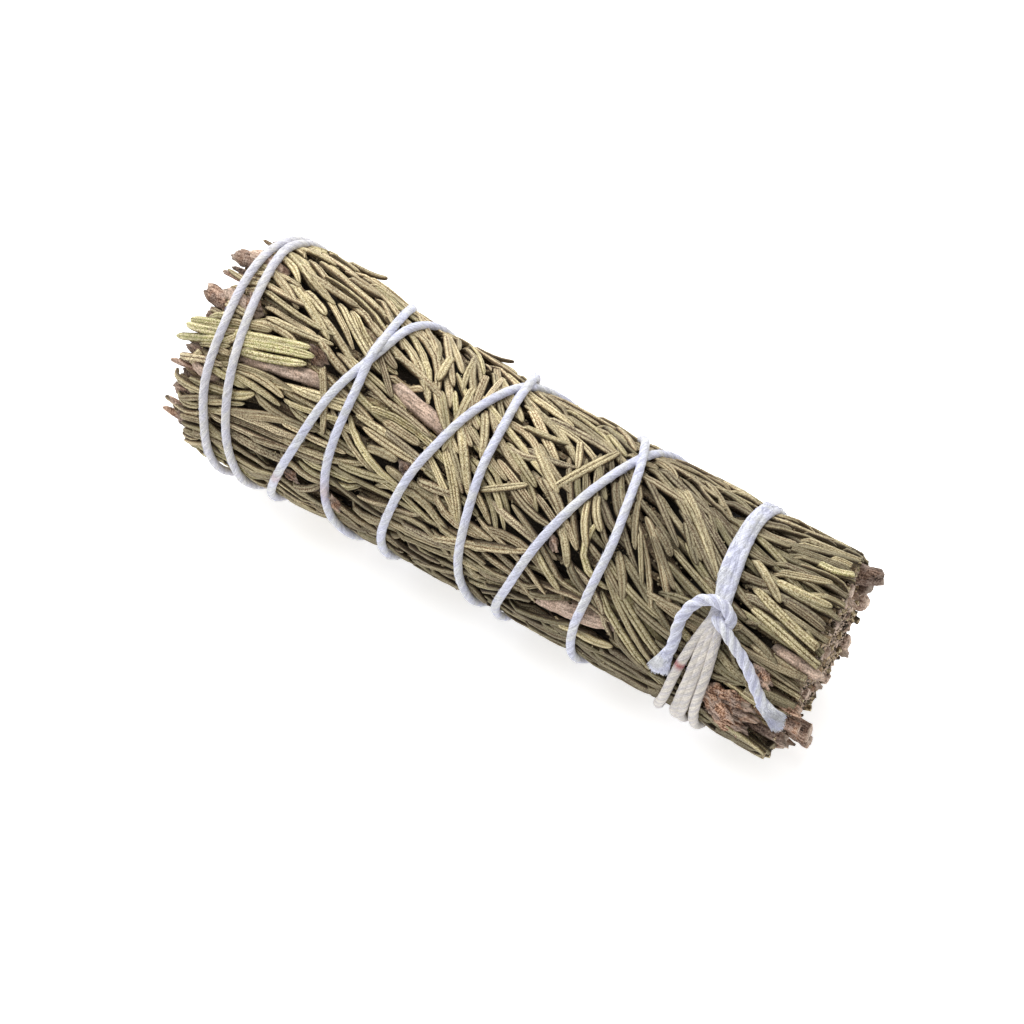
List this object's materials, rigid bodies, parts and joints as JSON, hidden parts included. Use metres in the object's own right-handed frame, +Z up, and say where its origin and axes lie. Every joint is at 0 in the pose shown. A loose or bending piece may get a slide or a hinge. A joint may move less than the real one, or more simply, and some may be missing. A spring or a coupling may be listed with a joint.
{
  "type": "rosemary bundle",
  "caption": "Bundle of dried rosemary sprigs laid side by side, wound end to end with white cotton string and knotted near the cut stems.",
  "frame": {"origin": "on the resting surface, under the middle of the bundle", "axes": "+X along the bundle from the sprigs' tips towards their cut butt ends and the knot; +Z up; the front, where the knot and the tails show, faces -Y"},
  "size_m": [0.1, 0.0356, 0.0347],
  "materials": {
    "dried_needles": "dull, dry, finely wrinkled",
    "woody_stem": "rough dry bark",
    "cotton_string": "soft twisted cotton, slightly fuzzy"
  },
  "bodies": {
    "root": {"outer_sprig_01_needles": "dried_needles", "outer_sprig_01_stem": "woody_stem", "outer_sprig_02_needles": "dried_needles", "outer_sprig_02_stem": "woody_stem", "outer_sprig_03_needles": "dried_needles", "outer_sprig_03_stem": "woody_stem", "outer_sprig_04_needles": "dried_needles", "outer_sprig_04_stem": "woody_stem", "outer_sprig_05_needles": "dried_needles", "outer_sprig_05_stem": "woody_stem", "outer_sprig_06_needles": "dried_needles", "outer_sprig_06_stem": "woody_stem", "outer_sprig_07_needles": "dried_needles", "outer_sprig_07_stem": "woody_stem", "outer_sprig_08_needles": "dried_needles", "outer_sprig_08_stem": "woody_stem", "outer_sprig_09_needles": "dried_needles", "outer_sprig_09_stem": "woody_stem", "outer_sprig_10_needles": "dried_needles", "outer_sprig_10_stem": "woody_stem", "inner_sprig_01_needles": "dried_needles", "inner_sprig_01_stem": "woody_stem", "inner_sprig_02_needles": "dried_needles", "inner_sprig_02_stem": "woody_stem", "inner_sprig_03_needles": "dried_needles", "inner_sprig_03_stem": "woody_stem", "inner_sprig_04_needles": "dried_needles", "inner_sprig_04_stem": "woody_stem", "inner_sprig_05_needles": "dried_needles", "inner_sprig_05_stem": "woody_stem", "core_sprig_01_needles": "dried_needles", "core_sprig_01_stem": "woody_stem", "cotton_string": "cotton_string"}
  },
  "joints": []
}
